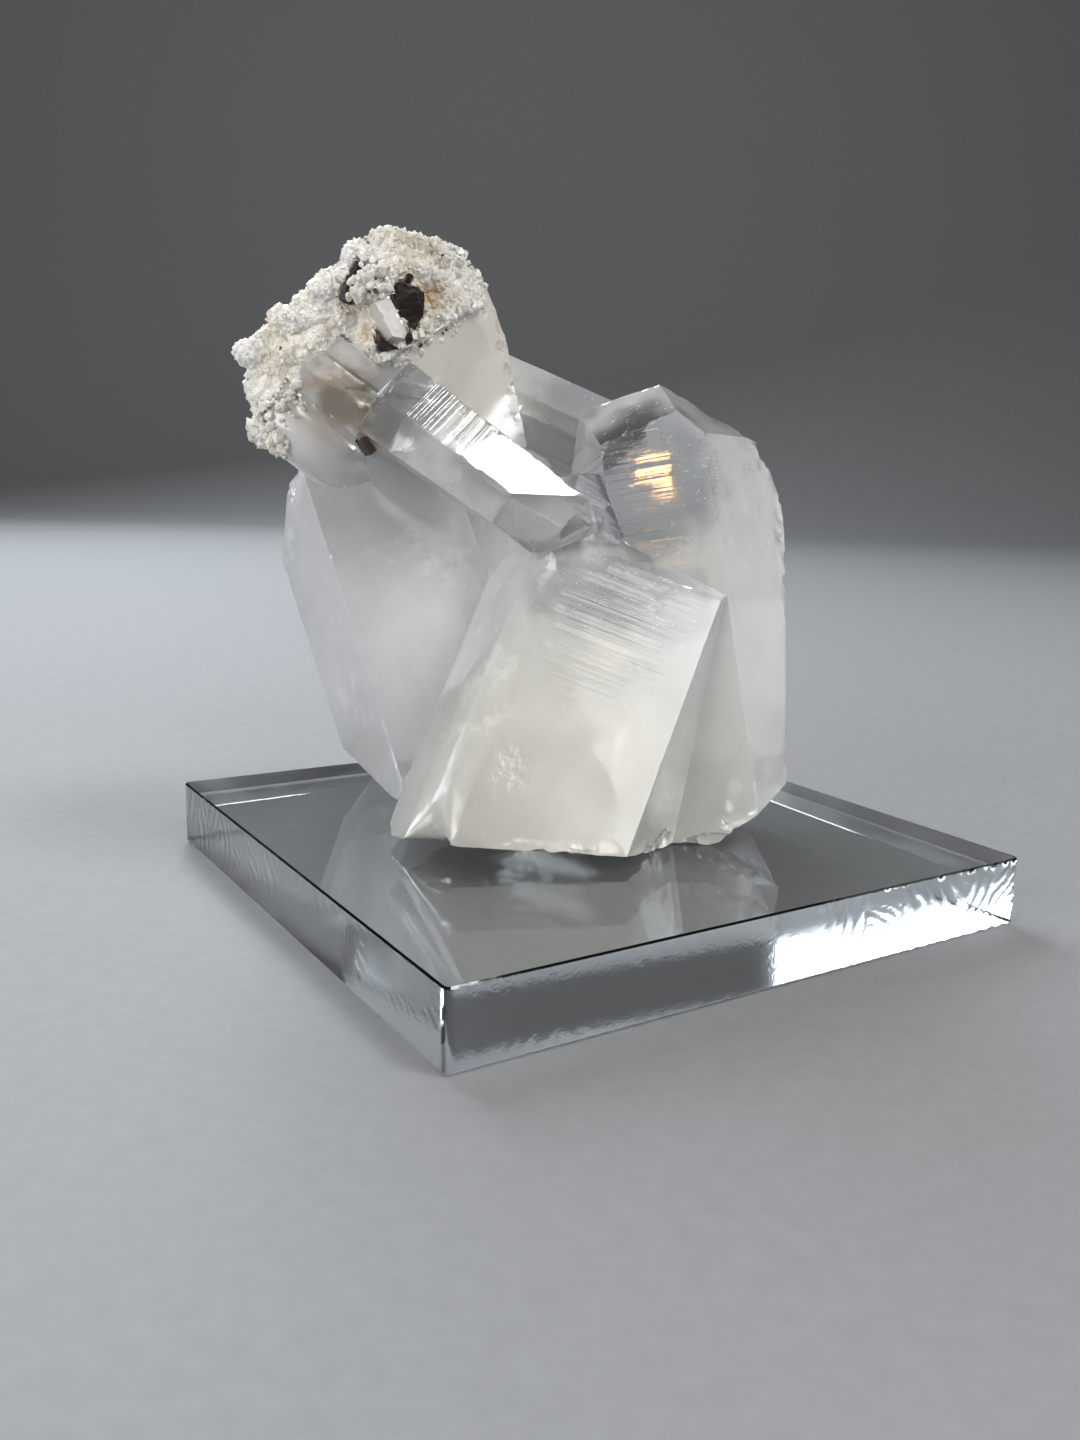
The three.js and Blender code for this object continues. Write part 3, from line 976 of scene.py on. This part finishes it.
def crust_colours(points, rng):
    """White to cream, with cold grey and ochre patches."""
    tints = {name: np.array(value) for name, value in CRUST_TINTS.items()}
    share = ramp(pattern(points, *CREAM_PATCHES), *CREAM_RANGE)[:, None]
    colours = tints["white"] * (1 - share) + tints["cream"] * share
    cold = ramp(pattern(points, *COLD_PATCHES), *COLD_RANGE)[:, None] * COLD_MOST
    colours = colours * (1 - cold) + tints["grey"] * cold
    rust = np.clip(cloud_field(points, CRUST_STAINS), 0, RUST_MOST)
    rust = (rust * ramp(pattern(points, *RUST_PATCHES), *RUST_RANGE))[:, None]
    colours = colours * (1 - rust) + tints["ochre"] * rust
    return colours * rng.uniform(*GRAIN_TONE, (len(points), 1))


def crust_piece():
    """The crust's bed and its grains, in one mesh."""
    rng = np.random.default_rng(CRUST_SEED)
    bed_points, bed_faces = node_arrays("drusy_crust", CRUST_EDGE * MM)
    bed_normals = point_normals(bed_points, bed_faces)
    bumps = pattern(bed_points, *BED_BUMPS)
    swelling = crust_swell(bed_points) - (BED_DEPTH + BED_RELIEF * bumps) * MM
    bed_points = bed_points + bed_normals * swelling[:, None]

    seats, normals, share, sunk, dark = crust_seats(rng)
    form, form_faces = grain_form()
    count = len(seats)
    size = rng.uniform(*GRAIN_SIZE, count) * share * MM
    size *= 1 + LARGE_GAIN * (rng.random(count) > 1 - LARGE_SHARE)
    lean = unit(normals + rng.normal(0, GRAIN_LEAN, (count, 3)))
    side = unit(np.cross(lean, rng.normal(0, 1, (count, 3))))
    other = np.cross(lean, side)
    width = size * rng.uniform(*GRAIN_WIDTH, count)
    roots = seats - normals * (size * sunk)[:, None]
    grains = (
        roots[:, None, :]
        + side[:, None, :] * (form[None, :, 0:1] * width[:, None, None])
        + other[:, None, :] * (form[None, :, 1:2] * width[:, None, None])
        + lean[:, None, :] * (form[None, :, 2:3] * size[:, None, None])
    )
    grain_faces = form_faces[None, :, :] + (np.arange(count) * len(form))[:, None, None]
    grain_faces = grain_faces.reshape(-1, 3) + len(bed_points)

    points = np.concatenate([bed_points, grains.reshape(-1, 3)])
    faces = np.concatenate([bed_faces, grain_faces])
    grain_colours = crust_colours(seats, rng)
    grain_colours[dark | (rng.random(count) < SPECK_SHARE)] = CRUST_TINTS["dark"]
    colours = np.concatenate(
        [crust_colours(bed_points, rng), np.repeat(grain_colours, len(form), axis=0)]
    )
    mesh = array_mesh("crust_grains", points, faces)
    write_colour(mesh, "tint", colours)
    new_piece("crust_grains", mesh, crust_material(), "drusy_crust")


# Iron oxide.

OXIDE_MOTTLE = (700, 4)
OXIDE_TONES = [
    (0.3, (0.008, 0.005, 0.005)),
    (0.55, (0.022, 0.01, 0.01)),
    (0.78, (0.09, 0.045, 0.03)),
]
OXIDE_METALLIC = 0.25
OXIDE_ROUGHNESS = (0.25, 0.6)
OXIDE_DULL = (1500, 3)
OXIDE_PITS = (1800, 4)
OXIDE_PIT_RELIEF = (0.06, 0.8)
# Stepped relief: noise, level, number of steps and depth in millimetres.
OXIDE_NOISE = (0.7, 81, 3)
OXIDE_LEVEL = 0.35
OXIDE_STEPS = 6
OXIDE_DEPTH = 0.35


def oxide_material():
    """Dark brown to black crystal, a little metallic."""
    shader = Shader("iron_oxide")
    place = shader.place()
    shader.set(
        Base_Color=shader.ramp(shader.noise(place, *OXIDE_MOTTLE), OXIDE_TONES),
        Metallic=OXIDE_METALLIC,
        Roughness=shader.span(shader.noise(place, *OXIDE_DULL), *OXIDE_ROUGHNESS),
        Normal=shader.bump(shader.noise(place, *OXIDE_PITS), *OXIDE_PIT_RELIEF),
    )
    return shader.material


def oxide_pieces():
    """The three dark crystals, with stepped faces."""
    material = oxide_material()
    for name in ("iron_oxide_block", "iron_oxide_sliver", "iron_oxide_slab"):
        points, faces = node_arrays(name, OXIDE_EDGE * MM)
        normals = point_normals(points, faces)
        rough = pattern(points, *OXIDE_NOISE) - OXIDE_LEVEL
        steps = np.floor(rough * OXIDE_STEPS) / OXIDE_STEPS
        points = points - normals * (OXIDE_DEPTH * steps * MM)[:, None]
        mesh = array_mesh(name + "_crystal", points, faces)
        new_piece(name + "_crystal", mesh, material, name)


# Acrylic base.

BASE_SIDE = 75.0
BASE_THICKNESS = 8.0
BASE_CORNER = 0.7
BASE_CORNER_ANGLES = (22.5, 45, 67.5)
BASE_EASE = 0.2
BASE_SHARP = 25
WALL_STEP = 0.3
WALL_ROWS = 22

ACRYLIC_IOR = 1.49
ACRYLIC_COLOUR = (0.98, 0.99, 0.99, 1)
ACRYLIC_ABSORBS = (0.9, 0.94, 0.95, 1)
ACRYLIC_DENSITY = 8.0
SMUDGES = (90, 4)
SMUDGE_ROUGHNESS = (0.0, 0.04)
SAWN_ROUGHNESS = 0.09
SAWN_SCRATCHES = (2600, 2)
SAWN_RELIEF = (0.02, 0.5)

# Saw cuts, in millimetres: depth, pitch, length of a stretch that leans one way, lean,
# bow and wander of the cuts.
SAW_DEPTH = 0.035
SAW_PITCH = 1.9
SAW_STRETCH = 5.0
SAW_LEAN = 3.2
SAW_BOW = 0.1
SAW_WANDER = 1.2
# How ragged the ends of the stretches are, and the seed of their lean.
SAW_RAGGED = 0.35
SAW_LEAN_SEED = 3
# Noise on the walls: size along and up a wall in millimetres, seed and layers.
SAW_ENDS = (1, 1, 5, 1)
SAW_WAVES = (2.5, 5, 17, 2)
SAW_DEPTHS = (6, 6, 13, 2)
# Share of the depth everywhere, in patches, and where the walls are plainly sawn: the
# front wall to the right, and less so the left wall to the back.
SAW_EVERYWHERE = 0.1
SAW_PATCHES = 0.35
SAW_PATCH_RANGE = (0.3, 0.7)
SAW_PLAIN = 1.7
SAW_LEFT_SHARE = 0.4
SAWN_FRONT = (2, 14)
SAWN_LEFT = (-8, 10)
WALL_FROM = -37

# Chips on the upper edge: distance along the front edge from the middle, and size.
EDGE_CHIPS = [
    (24, 0.5), (27.5, 0.35), (29, 0.6), (31.5, 0.4),
    (33, 0.7), (35, 0.5), (36.4, 0.45), (8, 0.3),
]
CHIP_PULL = (0, 0.5, -0.5)


def acrylic_material():
    """Clear acrylic, dull where it is sawn."""
    shader = Shader("acrylic")
    place = shader.place()
    sawn = shader.attribute("sawn")
    smudge = shader.span(shader.noise(place, *SMUDGES), *SMUDGE_ROUGHNESS)
    scratch = shader.math("MULTIPLY", shader.noise(place, *SAWN_SCRATCHES), sawn)
    shader.set(
        Base_Color=ACRYLIC_COLOUR,
        Roughness=shader.math("ADD", smudge, shader.math("MULTIPLY", sawn, SAWN_ROUGHNESS)),
        IOR=ACRYLIC_IOR,
        Normal=shader.bump(scratch, *SAWN_RELIEF),
        Transmission_Weight=1.0,
    )
    shader.absorb(ACRYLIC_ABSORBS, ACRYLIC_DENSITY)
    return shader.material


def base_outline():
    """Points round the plate, anticlockwise from above, their normals and run length."""
    half = BASE_SIDE / 2
    inner = half - BASE_CORNER
    spots = []
    for quarter in range(4):
        turn = math.radians(90 * quarter)
        across = np.array((math.cos(turn), math.sin(turn)))
        along = np.array((-math.sin(turn), math.cos(turn)))
        for step in np.arange(-inner, inner + 0.01, WALL_STEP):
            spots.append((across * half + along * step, across))
        for angle in BASE_CORNER_ANGLES:
            lean = math.radians(angle)
            outward = across * math.cos(lean) + along * math.sin(lean)
            spots.append(((across + along) * inner + outward * BASE_CORNER, outward))
    places, outward = (np.array(column) for column in zip(*spots))
    run = np.concatenate([[0], np.cumsum(np.linalg.norm(np.diff(places, axis=0), axis=1))])
    return places, outward, run


def wall_noise(run, height, along, up, seed, layers):
    """Layered noise on a wall, over its run and height."""
    places = np.stack([run / along, height / up, run * 0], axis=1)
    return layered_noise(places, seed, layers)


def saw_marks(places, run, height):
    """Relief of the sawn walls: slanting cuts, deep in some stretches and faint in others."""
    stretch = np.floor(run / SAW_STRETCH + SAW_RAGGED * wall_noise(run, height, *SAW_ENDS))
    cells = np.stack([stretch, stretch * 0, stretch * 0], axis=1)
    lean = (lattice(cells, SAW_LEAN_SEED) - 0.5) * SAW_LEAN
    bow = SAW_BOW * (height - BASE_THICKNESS / 2) ** 2
    wander = SAW_WANDER * wall_noise(run, height, *SAW_WAVES)
    phase = (run + lean * height + bow) / SAW_PITCH + wander
    cuts = np.abs((phase % 1.0) - 0.5) * 2
    patchy = ramp(wall_noise(run, height, *SAW_DEPTHS), *SAW_PATCH_RANGE)
    front = (places[:, 1] < WALL_FROM) * ramp(places[:, 0], *SAWN_FRONT)
    left = (places[:, 0] < WALL_FROM) * ramp(places[:, 1], *SAWN_LEFT)
    plain = np.maximum(front, SAW_LEFT_SHARE * left)
    return cuts * (SAW_EVERYWHERE + SAW_PATCHES * patchy + SAW_PLAIN * plain)


def base_piece():
    """The plate: rings of points from its foot to its top, with sawn and chipped walls."""
    places, outward, run = base_outline()
    heights = np.linspace(BASE_EASE, BASE_THICKNESS - BASE_EASE, WALL_ROWS)
    count = len(places)
    rings = [np.column_stack([places - outward * BASE_EASE, np.zeros(count)])]
    for height in heights:
        relief = -SAW_DEPTH * saw_marks(places, run, np.full(count, height))
        rings.append(np.column_stack([places + outward * relief[:, None], np.full(count, height)]))
    rings.append(rings[0] + (0, 0, BASE_THICKNESS))
    points = np.concatenate(rings)
    for along, size in EDGE_CHIPS:
        gap = np.linalg.norm(points - (along, -BASE_SIDE / 2, BASE_THICKNESS), axis=1)
        inside = gap < size
        pull = np.array(CHIP_PULL) * size
        points[inside] += pull * (1 - gap[inside] / size)[:, None]
    faces = []
    for ring in range(len(rings) - 1):
        low = ring * count + np.arange(count)
        low_next = ring * count + (np.arange(count) + 1) % count
        faces.append(np.column_stack([low, low_next, low_next + count, low + count]))
    walls = np.concatenate(faces)
    mesh = bpy.data.meshes.new("base_plate")
    bottom_cap = list(range(count - 1, -1, -1))
    top_cap = list(range((len(rings) - 1) * count, len(rings) * count))
    mesh.from_pydata((points * MM).tolist(), [], walls.tolist() + [bottom_cap, top_cap])
    mesh.update()
    mesh.shade_smooth()
    mesh.set_sharp_from_angle(angle=math.radians(BASE_SHARP))
    sawn = np.ones(len(points))
    sawn[:count] = 0
    sawn[-count:] = 0
    write_attribute(mesh, "sawn", "POINT", sawn)
    new_piece("base_plate", mesh, acrylic_material(), "acrylic_base")


# Floor, light and camera.

FLOOR_TONE = (0.27, 0.272, 0.275)
FLOOR_MOTTLE = (500, 3)
FLOOR_MOTTLED = 0.04
FLOOR_ROUGHNESS = 0.7
FLOOR_GAP = 0.0002
# The floor's sweep, in metres: near and far end, curve, top and half its width.
SWEEP_NEAR = -1.6
SWEEP_FAR = 1.3
SWEEP_CURVE = 0.5
SWEEP_STEPS = 12
SWEEP_TOP = 1.6
SWEEP_HALF = 2.4
WORLD_COLOUR = (0.94, 0.97, 1.0, 1)
WORLD_STRENGTH = 0.12

# What the lights are aimed at, in the cluster's frame.
STONE_MIDDLE = (-8, 0, 45)
CLEAR_FACE = (7.7, -2, 50.2)
# Lights: target, heading and rise from it, distance and size in metres, brightness and
# colour. The upper face of the slender point mirrors the softbox, the sawn edge of the
# base catches the sill, and the growth lines of the right crystal catch the lamp.
LIGHTS = {
    "softbox": (STONE_MIDDLE, -28, 57, 0.7, (0.2, 0.18), 20, (1, 1, 1)),
    "window": (STONE_MIDDLE, 118, 39, 0.8, (0.5, 0.5), 9, (0.86, 0.93, 1)),
    "sill": (STONE_MIDDLE, 174, 19, 0.8, (0.24, 0.14), 9, (0.8, 0.9, 1)),
    "fill": (STONE_MIDDLE, -60, 30, 0.9, (0.5, 0.4), 3.4, (0.97, 0.98, 1)),
    "front": (STONE_MIDDLE, -142, 17, 0.9, (0.6, 0.5), 4.6, (1, 0.99, 0.97)),
    "side": (STONE_MIDDLE, 6, 18, 0.8, (0.5, 0.5), 0.8, (1, 0.99, 0.97)),
    "lamp": (CLEAR_FACE, -109.5, 18.3, 0.6, (0.022, 0.012), 55, (1, 0.5, 0.15)),
}


def floor_material():
    """Plain matt floor."""
    shader = Shader("floor")
    low = tuple((1 - FLOOR_MOTTLED) * tone for tone in FLOOR_TONE)
    high = tuple((1 + FLOOR_MOTTLED) * tone for tone in FLOOR_TONE)
    mottle = shader.noise(shader.place(), *FLOOR_MOTTLE)
    shader.set(
        Base_Color=shader.ramp(mottle, [(0.3, low), (0.7, high)]), Roughness=FLOOR_ROUGHNESS
    )
    return shader.material


def floor_and_world():
    """Plain sheet that lies under the object and sweeps up far behind it."""
    profile = [(SWEEP_NEAR, 0.0)]
    for step in range(SWEEP_STEPS + 1):
        turn = math.radians(90 * step / SWEEP_STEPS)
        away = SWEEP_FAR - SWEEP_CURVE + SWEEP_CURVE * math.sin(turn)
        profile.append((away, SWEEP_CURVE - SWEEP_CURVE * math.cos(turn)))
    profile.append((SWEEP_FAR, SWEEP_TOP))
    turn = Matrix.Rotation(math.radians(CAMERA_HEADING), 3, "Z")
    points = []
    for away, height in profile:
        for side in (SWEEP_HALF, -SWEEP_HALF):
            points.append(turn @ Vector((away, side, height - FLOOR_GAP)))
    rows = range(0, 2 * len(profile) - 2, 2)
    faces = [(row, row + 1, row + 3, row + 2) for row in rows]
    mesh = bpy.data.meshes.new("floor")
    mesh.from_pydata(points, [], faces)
    mesh.shade_smooth()
    mesh.materials.append(floor_material())
    floor = bpy.data.objects.new("floor", mesh)
    bpy.context.scene.collection.objects.link(floor)

    world = bpy.data.worlds.new("studio")
    bpy.context.scene.world = world
    world.use_nodes = True
    background = world.node_tree.nodes["Background"]
    background.inputs["Color"].default_value = WORLD_COLOUR
    background.inputs["Strength"].default_value = WORLD_STRENGTH


def lights():
    """Rectangular lights, whose power follows from their size and brightness."""
    for name, (aim, heading, rise, away, size, radiance, colour) in LIGHTS.items():
        data = bpy.data.lights.new(name, "AREA")
        data.shape = "RECTANGLE"
        data.size, data.size_y = size
        data.energy = radiance * math.pi * size[0] * size[1]
        data.color = colour
        light = bpy.data.objects.new(name, data)
        target = row_point(aim)
        light.location = target + direction(heading, rise) * away
        light.rotation_euler = (target - light.location).to_track_quat("-Z", "Y").to_euler()
        bpy.context.scene.collection.objects.link(light)


def camera():
    """The photograph's view."""
    data = bpy.data.cameras.new("camera")
    data.sensor_width = CAMERA_SENSOR
    data.lens = CAMERA_LENS
    data.clip_start = CAMERA_NEAR
    made = bpy.data.objects.new("camera", data)
    heading = math.radians(CAMERA_HEADING)
    dip = math.radians(CAMERA_DIP)
    ahead = Vector(
        (math.cos(heading) * math.cos(dip), math.sin(heading) * math.cos(dip), -math.sin(dip))
    )
    level = Vector((math.sin(heading), -math.cos(heading), 0))
    upright = level.cross(ahead)
    roll = math.radians(CAMERA_ROLL)
    right = level * math.cos(roll) + upright * math.sin(roll)
    up = upright * math.cos(roll) - level * math.sin(roll)
    basis = Matrix((right, up, -ahead)).transposed().to_4x4()
    basis.translation = Vector(CAMERA_PLACE) * MM
    made.matrix_world = basis
    scene = bpy.context.scene
    scene.collection.objects.link(made)
    scene.camera = made
    scene.view_settings.view_transform = "Standard"
    scene.cycles.max_bounces = LIGHT_BOUNCES
    scene.cycles.transmission_bounces = LIGHT_BOUNCES


camera()
quartz_piece()
crust_piece()
oxide_pieces()
base_piece()
floor_and_world()
lights()
